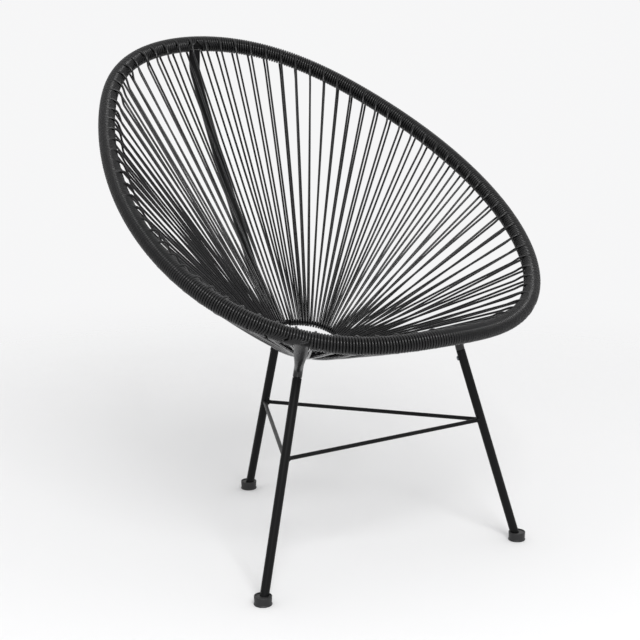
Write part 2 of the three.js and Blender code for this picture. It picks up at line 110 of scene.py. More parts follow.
# Each leg: its foot, its lean for each unit of height, and the height of its top
FRONT_FOOT = (275.5 * MM, -172 * MM)
REAR_FOOT = (0.0, 345.4 * MM)
FRONT_LEAN = (-0.2753, 0.1398)
REAR_LEAN = (0.0, -0.336)
FRONT_TOP = 369 * MM
REAR_TOP = 326 * MM
LEG_WALL = 1.2 * MM
LEG_BOTTOM = 3.3 * MM
LEG_EDGE = 0.35 * MM
SPIGOT_LENGTH = 30 * MM
SPIGOT_GAP = 0.3 * MM
SCREW_DROP = 14 * MM
STRETCHER_FRONT = 236.1 * MM
STRETCHER_REAR = 200.3 * MM
STRETCHER_SPLAY = 1 * MM

# Arms and spine: bends, and the shares of an arm's length where it narrows and where it rounds
HEAD_INSET = 2 * MM
HEAD_SQUARENESS = 0.5
ARM_CORNER = 15 * MM
ARM_BEND = 16 * MM
ARM_NECK = 1.2 * MM
ARM_NARROWS = 0.35
ARM_ROUNDS = 0.62
SPINE_HEAD_BACK = 2 * MM
SPINE_HEAD_DROP = 42 * MM
SPINE_HEAD_BEND = 45 * MM
SPINE_HEAD_THICKNESS = 10 * MM
SPINE_BOW = 22 * MM
SPINE_KNEE_HEIGHT = 342.6 * MM
SPINE_KNEE_BEND = 26 * MM

# Steps along each straight and bend of an arm and of the spine, from the hoop down
ARM_STEPS = (40, 12, 8, 4, 4)
SPINE_STEPS = (14, 12, 44, 16, 8)

# The bar from the spine's knee to the ring, and the welds at the ends of a bar
TONGUE_START = 20 * MM
TONGUE_RADIUS = 3.5 * MM
TONGUE_WELDS = (10 * MM, 5 * MM)
WELD_INSIDE = 3 * MM
WELD_START = 1 * MM
WELD_REACH = 5.5 * MM
WELD_STEPS = 9
WELD_FADE = 2.6 * MM
WELD_SWELL = 0.5

HOOP_STEPS = 240
RING_STEPS = 96
BAR_SIDES = 20
WELDED_SIDES = 24
TUBE_SIDES = 40

# Half sections from the bottom centre to the top centre, in millimetres
GLIDE_PROFILE = (
    (0, 0), (14.2, 0), (15.2, 0.25), (15.8, 0.9), (16, 1.5), (15.9, 2.0), (15.3, 2.5),
    (14.95, 3.1), (14.9, 4.0), (15.15, 8.0), (15.4, 12.5), (15.5, 15.2), (15.35, 16.0),
    (14.9, 16.45), (14.3, 16.5), (13.9, 16.2), (13.7, 15.6), (13.6, 14.9), (13.2, 14.6),
    (9.5, 14.9), (0, 14.9))
SCREW_PROFILE = (
    (0, -8), (2.3, -8), (2.5, -7.8), (2.5, 0.3), (4.3, 0.3), (4.5, 0.5), (4.5, 0.9),
    (4.3, 1.6), (3.8, 2.2), (3.1, 2.65), (2.4, 2.9), (1.85, 2.9), (1.7, 2.75), (1.7, 1.4), (0, 1.2))

# Each finish: its settings' first word, its surface detail, its bump's strength and depth, and a shader value
DETAIL_LABELS = ("Drift", "Drift scale", "Grain scale", "Roughness drift", "Dust")
FINISHES = {
    "cord_plastic": ("cord", (0.18, 9.0, 1400.0, 0.05, 0.02), (0.25, 0.2 * MM), ("IOR", 1.40)),
    "powder_coat": ("coat", (0.12, 6.0, 1100.0, 0.04, 0.02), (0.35, 0.2 * MM), ("IOR", 1.21)),
    # The arms wear the same powder coat as the legs. Here it has a stronger reflection and a touch lighter
    # colour, which paint in the reflection of light on the arms' flat faces.
    "arm_painted_reflection_coat": ("arm", (0.12, 6.0, 1100.0, 0.04, 0.02), (0.2, 0.2 * MM), ("IOR", 1.44)),
    "glide_plastic": ("glide", (0.15, 30.0, 2200.0, 0.06, 0.05), (0.3, 0.1 * MM), ("Specular IOR Level", 0.4)),
    "zinc_steel": ("screw", (0.15, 90.0, 3000.0, 0.08, 0.03), (0.2, 0.1 * MM), ("Metallic", 0.95)),
}
DUST_COLOUR = (0.42, 0.41, 0.39, 1)
NOISE_LOW = 0.3
NOISE_HIGH = 0.7

# How far the source's origin lies behind the row's: the rear glide shows it
rear_low, rear_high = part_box("foot_glide_rear")
SOURCE_SHIFT = REAR_FOOT[1] - (rear_low[1] + rear_high[1]) / 2


def settings():
    return bpy.context.scene.chair_sizes


def unit(rows):
    return rows / np.linalg.norm(rows, axis=-1, keepdims=True)


def smooth_step(value):
    value = np.clip(value, 0, 1)
    return value * value * (3 - 2 * value)


def blend(start, end, share):
    return start + (end - start) * float(smooth_step(share))


# The hoop's centre line and the directions round it

def swing(angle, shares):
    return (0.5 + (0.5 - shares[1]) * np.cos(angle) + shares[0] * (np.cos(2 * angle) - 1)
            + shares[1] * np.cos(3 * angle) + shares[2] * (np.cos(4 * angle) - 1))


def hoop_point(angle):
    side = sum(share * np.sin((index + 1) * angle) for index, share in enumerate(WIDTH_SHARES))
    return np.stack([
        side * HOOP_WIDTH / 2,
        HOOP_DEPTH * swing(angle, DEPTH_SHARES) - HOOP_FRONT_REACH - SOURCE_SHIFT,
        HOOP_FRONT_HEIGHT + HOOP_RISE * swing(angle, RISE_SHARES),
    ], axis=-1)


TABLE_ANGLES = np.linspace(0, FULL_TURN, TABLE_STEPS + 1)
TABLE_SPANS = np.linalg.norm(np.diff(hoop_point(TABLE_ANGLES), axis=0), axis=1)
TABLE_RUNS = np.concatenate([[0], np.cumsum(TABLE_SPANS)])
HOOP_LENGTH = TABLE_RUNS[-1]
RING_CENTRE = np.array([0, RING_BACK - SOURCE_SHIFT, RING_HEIGHT])
RING_AXIS = np.array([0, -math.sin(RING_TILT), math.cos(RING_TILT)])
RING_REAR = np.array([0, math.cos(RING_TILT), math.sin(RING_TILT)])
SIDEWAYS = np.array([1.0, 0, 0])


def hoop_frame(share):
    """Centre, way along, way in to the ring and way up to the sitter, at shares of the hoop's length."""
    angle = np.interp(np.mod(share, 1) * HOOP_LENGTH, TABLE_RUNS, TABLE_ANGLES)
    centre = hoop_point(angle)
    along = unit(hoop_point(angle + TANGENT_STEP) - hoop_point(angle - TANGENT_STEP))
    inward = RING_CENTRE - centre
    inward = unit(inward - np.sum(inward * along, axis=-1, keepdims=True) * along)
    return centre, along, inward, np.cross(inward, along)


def hoop_place(share):
    """The same at a single share."""
    return [row[0] for row in hoop_frame(np.array([share]))]


def loop_shares():
    back = ARM_SHARE * (np.arange(BACK_LOOPS) + 0.5) / BACK_LOOPS
    front = ARM_SHARE + (1 - 2 * ARM_SHARE) * (np.arange(FRONT_LOOPS) + 0.5) / FRONT_LOOPS
    return np.concatenate([back, front, 1 - ARM_SHARE + back])


EXIT_SHARES = loop_shares()
FIXED_EDGES = {0: 0.0, BACK_LOOPS: ARM_SHARE, LOOP_COUNT - BACK_LOOPS: 1 - ARM_SHARE, LOOP_COUNT: 1.0}


def panel_edge(index):
    """Where a panel of cord ends: at the hoop's top, at an arm, or midway between two loops."""
    if index in FIXED_EDGES:
        return FIXED_EDGES[index]
    return (EXIT_SHARES[index - 1] + EXIT_SHARES[index]) / 2


def ring_point(angle):
    return RING_CENTRE + RING_RADIUS * (math.cos(angle) * RING_REAR + math.sin(angle) * SIDEWAYS)


def ring_hold(index, angle, reach):
    """Where a loop lies on the ring, its way out, and how deep it goes round the rod."""
    hold = ring_point(angle)
    outward = hoop_frame(EXIT_SHARES[index])[0] - hold
    outward = unit(outward - np.dot(outward, RING_AXIS) * RING_AXIS)
    return hold, outward, reach / np.dot(outward, unit(hold - RING_CENTRE))


def ring_angles(reach):
    """Loops are spread until they lie evenly side by side on the ring's inner side."""
    spans = np.full(LOOP_COUNT - 1, (FULL_TURN - RING_OPEN) / (LOOP_COUNT - 1))
    for _ in range(PACK_ROUNDS):
        angles = RING_OPEN / 2 + np.concatenate([[0], np.cumsum(spans)])
        holds = [ring_hold(index, angle, reach) for index, angle in enumerate(angles)]
        inner = [hold - depth * outward for hold, outward, depth in holds]
        sizes = []
        for index, span in enumerate(spans):
            beside = np.cross(RING_AXIS, holds[index][1])
            sizes.append(span / abs(np.dot(inner[index + 1] - inner[index], beside)))
        spans = np.array(sizes) * (FULL_TURN - RING_OPEN) / sum(sizes)
    return RING_OPEN / 2 + np.concatenate([[0], np.cumsum(spans)])


# Legs, arms and spine: lines in the row frame

def leg_lines():
    """Each leg's name, foot, rise for a unit of height, top and the side its screw is on."""
    legs = []
    for name, side in (("front_left", 1), ("front_right", -1)):
        legs.append((name, Vector((-side * FRONT_FOOT[0], FRONT_FOOT[1] - SOURCE_SHIFT, 0)),
                     Vector((-side * FRONT_LEAN[0], FRONT_LEAN[1], 1)), FRONT_TOP, Vector((side, 1, 0))))
    legs.append(("rear", Vector((REAR_FOOT[0], REAR_FOOT[1] - SOURCE_SHIFT, 0)),
                 Vector((*REAR_LEAN, 1)), REAR_TOP, Vector((0, 1, 0))))
    return legs


def arm_share(foot):
    return ARM_SHARE if foot.x > 0 else 1 - ARM_SHARE


def way(start, end):
    return (end - start).normalized()


def bend_ends(start, corner, end, radius):
    """Where a bend begins and ends on the two straights that meet at its corner."""
    reach = radius * math.tan(way(start, corner).angle(way(corner, end)) / 2)
    return corner + way(corner, start) * reach, corner + way(corner, end) * reach


def joined_curve(pieces):
    """Points along joined straights and bends. A piece is its corners and its number of steps."""
    points = []
    for corners, steps in pieces:
        for step in range(0 if not points else 1, steps + 1):
            share = step / steps
            point = corners[0].lerp(corners[1], share)
            if len(corners) == 3:
                point = point.lerp(corners[1].lerp(corners[2], share), share)
            points.append(point)
    return points


def runs_of(points):
    """How far along a line each of its points lies."""
    runs = [0.0]
    for first, second in zip(points, points[1:]):
        runs.append(runs[-1] + (second - first).length)
    return runs


# Mesh making

def placed(name, mesh):
    piece = bpy.data.objects.new(name, mesh)
    bpy.context.scene.collection.objects.link(piece)
    return piece


def new_piece(name, points, faces, sharp_degrees=40):
    mesh = bpy.data.meshes.new(name)
    mesh.from_pydata([tuple(point) for point in points], [], faces)
    mesh.validate()
    mesh.shade_smooth()
    mesh.set_sharp_from_angle(angle=math.radians(sharp_degrees))
    return placed(name, mesh)


def loft(name, rings, closed=False, sharp_degrees=40):
    """One skin over rings that run anticlockwise seen against the way of travel."""
    count, rows = len(rings[0]), len(rings)
    faces = []
    for row in range(rows if closed else rows - 1):
        first, second = row * count, (row + 1) % rows * count
        for column in range(count):
            after = (column + 1) % count
            faces.append((first + column, first + after, second + after, second + column))
    if not closed:
        faces.append(tuple(reversed(range(count))))
        faces.append(tuple(range((rows - 1) * count, rows * count)))
    return new_piece(name, [point for ring in rings for point in ring], faces, sharp_degrees)


def ring_round(centre, across, along, half_width, half_height, sides, round_share=1.0):
    ring = []
    for index in range(sides):
        angle = FULL_TURN * index / sides
        wide = math.copysign(abs(math.cos(angle)) ** round_share, math.cos(angle))
        high = math.copysign(abs(math.sin(angle)) ** round_share, math.sin(angle))
        ring.append(centre + across * half_width * wide + along * half_height * high)
    return ring


def dress(piece, material, slot, *nodes):
    """Gives a piece its finish, and tells the frame what it rides on and stands for."""
    if material.name not in piece.data.materials:
        piece.data.materials.clear()
        piece.data.materials.append(material)
    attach(piece, "root")
    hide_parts(*nodes)


# Nodes

def feed(tree, node, inputs):
    """Sets a node's inputs, or links them to the outputs of other nodes."""
    for label, value in inputs.items():
        if isinstance(value, bpy.types.NodeSocket):
            tree.links.new(value, node.inputs[label])
        else:
            node.inputs[label].default_value = value


def add_node(tree, kind, inputs=None, **options):
    """Adds a node and gives back its outputs."""
    node = tree.nodes.new(kind)
    for label, value in options.items():
        setattr(node, label, value)
    feed(tree, node, inputs or {})
    return node.outputs


def scalar_math(tree, operation, *values):
    return add_node(tree, "ShaderNodeMath", dict(enumerate(values)), operation=operation)["Value"]


def scaled(tree, vector, scale):
    return add_node(tree, "ShaderNodeVectorMath", {0: vector, "Scale": scale}, operation="SCALE")["Vector"]


def named_attribute(tree, name, kind="FLOAT"):
    return add_node(tree, "GeometryNodeInputNamedAttribute", {"Name": name}, data_type=kind)["Attribute"]


def store_attribute(tree, geometry, name, kind, value):
    inputs = {"Name": name, "Geometry": geometry, "Value": value}
    return add_node(tree, "GeometryNodeStoreNamedAttribute", inputs, data_type=kind, domain="POINT")["Geometry"]


# Geometry node trees

def node_tree(name, inputs):
    """A new tree with named inputs, and the outputs of its entry."""
    tree = bpy.data.node_groups.new(name, "GeometryNodeTree")
    tree.interface.new_socket("Geometry", in_out="INPUT", socket_type="NodeSocketGeometry")
    for label, kind, default in inputs:
        socket = tree.interface.new_socket(label, in_out="INPUT", socket_type="NodeSocket" + kind)
        if default is not None:
            socket.default_value = default
    tree.interface.new_socket("Geometry", in_out="OUTPUT", socket_type="NodeSocketGeometry")
    return tree, add_node(tree, "NodeGroupInput")


def finish_tree(tree, geometry, given):
    """Realizes what a tree has made and gives it its material."""
    geometry = add_node(tree, "GeometryNodeRealizeInstances", {"Geometry": geometry})["Geometry"]
    inputs = {"Geometry": geometry, "Material": given["Material"]}
    geometry = add_node(tree, "GeometryNodeSetMaterial", inputs)["Geometry"]
    add_node(tree, "NodeGroupOutput", {"Geometry": geometry})
    return tree


def sweep_end(tree, guide, given):
    """Sweeps a round profile along a guide, with the run and the way round it kept as attributes."""
    curve = add_node(tree, "GeometryNodeMeshToCurve", {"Mesh": guide})["Curve"]
    run = add_node(tree, "GeometryNodeSplineParameter")["Length"]
    curve = store_attribute(tree, curve, "run", "FLOAT", run)
    inputs = {"Resolution": given["Sides"], "Radius": given["Radius"]}
    circle = add_node(tree, "GeometryNodeCurvePrimitiveCircle", inputs)["Curve"]
    place = add_node(tree, "GeometryNodeInputPosition")["Position"]
    round_way = add_node(tree, "ShaderNodeVectorMath", {0: place}, operation="NORMALIZE")["Vector"]
    profile = store_attribute(tree, circle, "round_way", "FLOAT_VECTOR", round_way)
    inputs = {"Curve": curve, "Profile Curve": profile, "Scale": named_attribute(tree, "girth"),
              "Fill Caps": True}
    skin = add_node(tree, "GeometryNodeCurveToMesh", inputs)["Mesh"]
    skin = add_node(tree, "GeometryNodeSetShadeSmooth", {"Geometry": skin})["Geometry"]
    return finish_tree(tree, skin, given)


def winding_tree():
    """Turns a guide along the hoop into a cord: turned points go out from the centre line, strands stay."""
    tree, given = node_tree("Cord winding", (
        ("Wrap radius", "Float", 13 * MM), ("Radius", "Float", 2 * MM), ("Sides", "Int", 8),
        ("Material", "Material", None)))
    turn = named_attribute(tree, "turn")
    upward, inward = (scaled(tree, named_attribute(tree, label, "FLOAT_VECTOR"), scalar_math(tree, wave, turn))
                      for label, wave in (("upward", "COSINE"), ("inward", "SINE")))
    reach = scalar_math(tree, "MULTIPLY", given["Wrap radius"], named_attribute(tree, "wound"))
    out = add_node(tree, "ShaderNodeVectorMath", {0: upward, 1: inward}, operation="ADD")["Vector"]
    inputs = {"Geometry": given["Geometry"], "Offset": scaled(tree, out, reach)}
    return sweep_end(tree, add_node(tree, "GeometryNodeSetPosition", inputs)["Geometry"], given)


def bar_tree():
    """Sweeps a round bar along a guide, thicker where its girth says so."""
    tree, given = node_tree("Round bar", (
        ("Radius", "Float", 4 * MM), ("Sides", "Int", 24), ("Material", "Material", None)))
    return sweep_end(tree, given["Geometry"], given)


def copies_tree():
    """Puts a copy of one shape on each point of a guide, turned to the point's axis."""
    tree, given = node_tree("Copies on points", (("Shape", "Object", None), ("Material", "Material", None)))
    axis = named_attribute(tree, "axis", "FLOAT_VECTOR")
    instances = add_node(tree, "GeometryNodeInstanceOnPoints", {
        "Points": add_node(tree, "GeometryNodeMeshToPoints", {"Mesh": given["Geometry"]})["Points"],
        "Instance": add_node(tree, "GeometryNodeObjectInfo", {"Object": given["Shape"]})["Geometry"],
        "Rotation": add_node(tree, "FunctionNodeAlignRotationToVector", {"Vector": axis}, axis="Z")["Rotation"],
    })["Instances"]
    return finish_tree(tree, instances, given)


def guide_mesh(name, points, attributes, closed=False):
    mesh = bpy.data.meshes.new(name)
    count = len(points)
    edges = [(index, index + 1) for index in range(count - 1)]
    if closed:
        edges.append((count - 1, 0))
    mesh.from_pydata([tuple(point) for point in points], edges, [])
    for label, values in attributes.items():
        values = np.asarray(values, dtype=np.float32)
        kind, field = ("FLOAT_VECTOR", "vector") if values.ndim == 2 else ("FLOAT", "value")
        mesh.attributes.new(label, kind, "POINT").data.foreach_set(field, values.ravel())
    return placed(name + "_guide", mesh)


def grown(name, guide, tree, values):
    """Runs a tree on a guide and keeps the result as a plain mesh; the guide and its modifier go."""
    modifier = guide.modifiers.new("Growth", "NODES")
    modifier.node_group = tree
    sockets = {item.name: item.identifier for item in tree.interface.items_tree if item.in_out == "INPUT"}
    for label, value in values.items():
        modifier[sockets[label]] = value
    bpy.context.view_layer.update()
    graph = bpy.context.evaluated_depsgraph_get()
    mesh = bpy.data.meshes.new_from_object(guide.evaluated_get(graph), depsgraph=graph)
    guide.modifiers.remove(modifier)
    source = guide.data
    bpy.data.objects.remove(guide)
    bpy.data.meshes.remove(source)
    if not mesh.polygons:
        raise RuntimeError(f"{name} came out empty")
    mesh.name = name
    return placed(name, mesh)


def bar(name, points, radius, sides, girth=None, closed=False):
    tree = bpy.data.node_groups.get("Round bar") or bar_tree()
    girth = np.ones(len(points)) if girth is None else girth
    guide = guide_mesh(name, points, {"girth": girth}, closed)
    return grown(name, guide, tree, {"Radius": radius, "Sides": sides, "Material": material_for("powder_coat")})


# Shader group and finishes

def noise(tree, vector, scale, detail):
    return add_node(tree, "ShaderNodeTexNoise", {"Vector": vector, "Scale": scale, "Detail": detail})["Fac"]


def between(tree, value, low, high):
    """Spreads a noise's usual values over low to high."""
    return add_node(tree, "ShaderNodeMapRange", {
        "Value": value, "From Min": NOISE_LOW, "From Max": NOISE_HIGH, "To Min": low, "To Max": high})["Result"]


def surface_group():
    """Tone drift, dust on upward faces and a fine grain, shared by every finish."""
    name = "Surface detail"
    if name in bpy.data.node_groups:
        return bpy.data.node_groups[name]
    group = bpy.data.node_groups.new(name, "ShaderNodeTree")
    for label, kind, default in (
            ("Colour", "Color", (0.02, 0.02, 0.02, 1)), ("Drift", "Float", 0.3), ("Drift scale", "Float", 12.0),
            ("Grain scale", "Float", 900.0), ("Roughness", "Float", 0.4), ("Roughness drift", "Float", 0.06),
            ("Dust", "Float", 0.05)):
        socket = group.interface.new_socket(label, in_out="INPUT", socket_type="NodeSocket" + kind)
        socket.default_value = default
    for label, kind in (("Colour", "Color"), ("Roughness", "Float"), ("Grain", "Float")):
        group.interface.new_socket(label, in_out="OUTPUT", socket_type="NodeSocket" + kind)
    given = add_node(group, "NodeGroupInput")
    place = add_node(group, "ShaderNodeTexCoord")["Object"]
    tone = between(group, noise(group, place, given["Drift scale"], 3.0),
                   scalar_math(group, "SUBTRACT", 1.0, given["Drift"]),
                   scalar_math(group, "ADD", 1.0, given["Drift"]))
    toned = scaled(group, given["Colour"], tone)
    normal = add_node(group, "ShaderNodeNewGeometry")["Normal"]
    level = add_node(group, "ShaderNodeSeparateXYZ", {"Vector": normal})["Z"]
    upward = add_node(group, "ShaderNodeMapRange", {"Value": level, "From Min": 0.4})["Result"]
    patches = between(group, noise(group, place, 60.0, 4.0), 0.2, 1.0)
    dust = scalar_math(group, "MULTIPLY", scalar_math(group, "MULTIPLY", upward, patches), given["Dust"])
    spread = scalar_math(group, "MULTIPLY", between(group, noise(group, place, 45.0, 4.0), -1.0, 1.0),
                         given["Roughness drift"])
    rough = scalar_math(group, "ADD", given["Roughness"], spread)
    inputs = {"Factor": dust, 6: toned, 7: DUST_COLOUR}
    add_node(group, "NodeGroupOutput", {
        "Colour": add_node(group, "ShaderNodeMix", inputs, data_type="RGBA")[2],
        "Roughness": scalar_math(group, "ADD", rough, dust),
        "Grain": noise(group, place, given["Grain scale"], 2.0),
    })
    return group


def cord_lines(tree, grain):
    """Faint lines along the extruded cord, from its own run and way round."""
    run = add_node(tree, "ShaderNodeAttribute", attribute_name="run")["Fac"]
    round_way = add_node(tree, "ShaderNodeAttribute", attribute_name="round_way")["Vector"]
    across = add_node(tree, "ShaderNodeSeparateXYZ", {"Vector": round_way})
    inputs = {"X": across["X"], "Y": across["Y"], "Z": scalar_math(tree, "MULTIPLY", run, 6.0)}
    lines = noise(tree, add_node(tree, "ShaderNodeCombineXYZ", inputs)["Vector"], 5.0, 3.0)
    return scalar_math(tree, "ADD", lines, scalar_math(tree, "MULTIPLY", grain, 0.35))


def material_for(kind):
    """Each finish is made once, from its row and the colour and roughness set in the panel."""
    if kind in bpy.data.materials:
        return bpy.data.materials[kind]
    word, amounts, (strength, depth), (label, value) = FINISHES[kind]
    look = bpy.context.scene.chair_finishes
    material = bpy.data.materials.new(kind)
    material.use_nodes = True
    tree = material.node_tree
    detail = add_node(tree, "ShaderNodeGroup", {
        "Colour": (*getattr(look, word + "_colour"), 1), "Roughness": getattr(look, word + "_roughness"),
        **dict(zip(DETAIL_LABELS, amounts))}, node_tree=surface_group())
    height = cord_lines(tree, detail["Grain"]) if kind == "cord_plastic" else detail["Grain"]
    inputs = {"Strength": strength, "Distance": depth, "Height": height}
    feed(tree, tree.nodes["Principled BSDF"], {
        "Base Color": detail["Colour"], "Roughness": detail["Roughness"],
        "Normal": add_node(tree, "ShaderNodeBump", inputs)["Normal"], label: value})
    return material


# The cord's route

def posts():
    """Where an arm or the spine meets the hoop: its share, the middle of the turns' bow round it,
    its half width, and whether the turns pass it on one side only."""
    size = settings()
    room = size.cord_diameter / 2 + SPIGOT_GAP
    places = [(arm_share(foot), np.array(foot + rise * (top + ARM_CORNER)), size.arm_width, BOW_TURN)
              for _, foot, rise, top, _ in leg_lines()[:2]]
    places.append((0.0, hoop_place(0.0)[0] - np.array([0, 0, 1.0]), size.spine_head_width, 0.0))
    found = []
    for share, target, width, bow_turn in places:
        centre, _, inward, upward = hoop_place(share)
        out = target - centre
        angle = math.atan2(np.dot(out, inward), np.dot(out, upward)) + bow_turn
        found.append((share, angle, width / 2 + room, bow_turn > 0))
    return found


def beside_posts(shares, turns, pitch, obstacles):
    """Turns that would meet an arm or the spine pass beside it, and the next ones make room."""
    moved = shares.copy()
    settle = settings().bow_length
    for share, angle, half, one_sided in obstacles:
        meeting = angle + FULL_TURN * np.round((turns - angle) / FULL_TURN)
        gap = (np.mod(shares + (meeting - turns) / FULL_TURN * pitch - share + 0.5, 1) - 0.5) * HOOP_LENGTH
        if one_sided:
            shift = np.where(gap > -half, 2 * half * np.exp(-np.maximum(gap + half, 0) / settle), 0.0)
        else:
            shift = np.sign(gap) * half * np.exp(-np.abs(gap) / settle)
        moved += shift * smooth_step((BOW_REACH - np.abs(turns - meeting)) / BOW_FADE) / HOOP_LENGTH
    return moved


def wrap_radius():
    return (settings().hoop_diameter + settings().cord_diameter) / 2


def wound_points(shares, turns):
    """Positions of a cord wound on the hoop."""
    centre, _, inward, upward = hoop_frame(shares)
    return centre + wrap_radius() * (np.cos(turns)[:, None] * upward + np.sin(turns)[:, None] * inward)


def strand(leave, heading, crest, rod_end, rise, sag):
    """From the hoop: off the turns in a stiff arch over its crest, then nearly straight to the ring."""
    reach = settings().strand_arch
    toward = unit(rod_end - crest)
    join = crest + toward * reach
    handles = (leave, leave + heading * rise, join - toward * reach * ARCH_HANDLE, join)
    points = []
    for step in range(1, ARCH_STEPS + 1):
        share = step / ARCH_STEPS
        points.append((1 - share) ** 3 * handles[0] + 3 * share * (1 - share) ** 2 * handles[1]
                      + 3 * share ** 2 * (1 - share) * handles[2] + share ** 3 * handles[3])
    for step in range(1, RUN_STEPS):
        share = step / RUN_STEPS
        points.append(join + (rod_end - join) * share - np.array([0, 0, sag * 4 * share * (1 - share)]))
    return np.array(points)


class Route:
    """A list of guide points with what each carries."""

    def __init__(self):
        self.rows = {"place": [], "upward": [], "inward": [], "turn": [], "wound": [], "girth": []}

    def add_wound(self, shares, turns):
        centre, _, inward, upward = hoop_frame(shares)
        whole = np.ones(len(turns))
        self._add(centre, upward, inward, turns, whole, whole)

    def add_strand(self, points):
        flat, zeros, order = np.zeros_like(points), np.zeros(len(points)), np.arange(len(points))
        from_end = np.minimum(order, order[::-1])
        girth = 1 - settings().strand_thinning * smooth_step(from_end / THINNING_STEPS)
        self._add(points, flat, flat, zeros, zeros, girth)

    def _add(self, *columns):
        for key, column in zip(self.rows, columns):
            self.rows[key].append(np.asarray(column, dtype=float))

    def guide(self, name):
        joined = {key: np.concatenate(value) for key, value in self.rows.items()}
        return guide_mesh(name, joined.pop("place"), joined)


class CordWinder:
    """Lays the one cord of the chair, stretch by stretch."""

    def __init__(self):
        size = settings()
        self.sweep = FULL_TURN * (size.whole_turns + 0.5)
        self.grip = (size.ring_rod_diameter + size.cord_diameter) / 2 + RING_SLACK
        self.angles = ring_angles(self.grip)
        self.obstacles = posts()
        random = np.random.default_rng(SEED)
        self.rocks = random.uniform(-1, 1, (LOOP_COUNT + 1, size.whole_turns + 2))
        self.rocks *= size.turn_rock / HOOP_LENGTH
        self.rocks[LOOP_COUNT] = self.rocks[0]
        self.sags = random.uniform(0, 2, (LOOP_COUNT, 2)) * size.strand_sag
        exits = hoop_frame(EXIT_SHARES)[0]
        lifted = (smooth_step(-exits[:, :1] / LIFT_SIDE)
                  * smooth_step((exits[:, 1:2] + LIFT_FRONT) / LIFT_FADE))
        strength = np.array([[1, size.under_lift]]) * (size.tight_lift + (1 - size.tight_lift) * lifted)
        spread = random.uniform(-1, 1, (LOOP_COUNT, 2)) * size.lift_spread
        self.lifts = (size.lift_angle + spread) * strength
        self.rises = size.strand_rise * random.uniform(*RISE_SPREAD, (LOOP_COUNT, 2)) * strength
        self.angles += random.uniform(-1, 1, LOOP_COUNT) * size.ring_stray / RING_RADIUS

    def section(self, index):
        """Where the turns between two loops run: the start and end shares, and the share of one turn."""
        before = EXIT_SHARES[index - 1] - (1 if index == 0 else 0)
        after = EXIT_SHARES[index % LOOP_COUNT] + (1 if index == LOOP_COUNT else 0)
        pitch = (after - before) / (settings().whole_turns + 1)
        return before + pitch / 4, after - pitch / 4, pitch

    def turned(self, index, turns):
        """Shares of the hoop's length for turns of a section, which starts under the hoop.

        The loop leaves no turn on the inner side, so the turns there spread to close the gap."""
        start, end, pitch = self.section(index)
        swept = (turns - math.pi) / FULL_TURN
        edge = smooth_step(np.minimum(swept, self.sweep / FULL_TURN - swept))
        rock = np.interp(swept, np.arange(self.rocks.shape[1]), self.rocks[index]) * edge
        shares = start + pitch * swept + rock
        bow = edge * (beside_posts(shares, turns, pitch, self.obstacles) - shares)
        inner = smooth_step(np.sin(turns) + INNER_SPREAD)
        return shares + bow + (shares - (start + end) / 2) / settings().whole_turns * inner

    def turns_of(self, index, low, high):
        """The turns of a section between two shares of its run."""
        start, end, _ = self.section(index)
        first, last = (math.pi + self.sweep * (edge - start) / (end - start) for edge in (low, high))
        if low == start:
            first += self.lifts[index - 1, 1]
        if high == end:
            last -= self.lifts[index % LOOP_COUNT, 0]
        count = max(2, round((last - first) / FULL_TURN * settings().steps_in_turn))
        return np.linspace(first, last, count)

    def leave(self, index, side):
        """Where a loop leaves the turns: its first point, heading and crest. Side 0 is over, 1 under."""
        crest_turn = math.pi if side else math.pi + self.sweep
        away = 1 if side else -1
        turn = crest_turn + away * self.lifts[index, side]
        turns = np.array([crest_turn, turn, turn + away * HEADING_STEP])
        crest, point, behind = wound_points(self.turned(index + side, turns), turns)
        return point, unit(point - behind), crest

    def loop(self, index):
        """Over the ring, round its inner side and back under it."""
        hold, outward, depth = ring_hold(index, self.angles[index], self.grip)
        ends = [self.leave(index, side) for side in (0, 1)]
        angles = []
        for (_, _, crest), way_round in zip(ends, (1, -1)):
            off = crest - hold
            flat = np.array([np.dot(off, outward) * self.grip / depth, np.dot(off, RING_AXIS)])
            tangent = math.acos(self.grip / np.linalg.norm(flat))
            angles.append(math.atan2(flat[1], flat[0]) + way_round * tangent)
        arc = np.array([hold + outward * depth * math.cos(angle) + RING_AXIS * self.grip * math.sin(angle)
                        for angle in np.linspace(angles[0], angles[1] + FULL_TURN, ARC_POINTS)])
        over, under = (strand(*ends[side], arc[-side], self.rises[index, side], self.sags[index, side])
                       for side in (0, 1))
        return np.concatenate([over, arc, under[::-1]])

    def panel(self, name, first, count, tree, material):
        route = Route()
        for index in range(first, first + count + 1):
            start, end, _ = self.section(index)
            low = panel_edge(index) if index == first else start
            high = panel_edge(index) if index == first + count else end
            turns = self.turns_of(index, low, high)
            route.add_wound(self.turned(index, turns), turns)
            if index < first + count:
                route.add_strand(self.loop(index))
        return grown(name, route.guide(name), tree, {
            "Wrap radius": wrap_radius(), "Radius": settings().cord_diameter / 2,
            "Sides": settings().cord_sides, "Material": material})


# Panel settings

def length_setting(name, description, default):
    return bpy.props.FloatProperty(name=name, description=description, default=default, unit="LENGTH")


def angle_setting(name, description, default):
    return bpy.props.FloatProperty(name=name, description=description, default=default, subtype="ANGLE")


def share_setting(name, description, default):
    return bpy.props.FloatProperty(
        name=name, description=description, default=default, subtype="FACTOR", min=0, max=1)


def colour_setting(name, description, default):
    return bpy.props.FloatVectorProperty(
        name=name, description=description, default=default, subtype="COLOR", size=3, min=0, max=1)


def power_setting(name, description, default):
    return bpy.props.FloatProperty(name=name, description=description, default=default, unit="POWER", min=0)


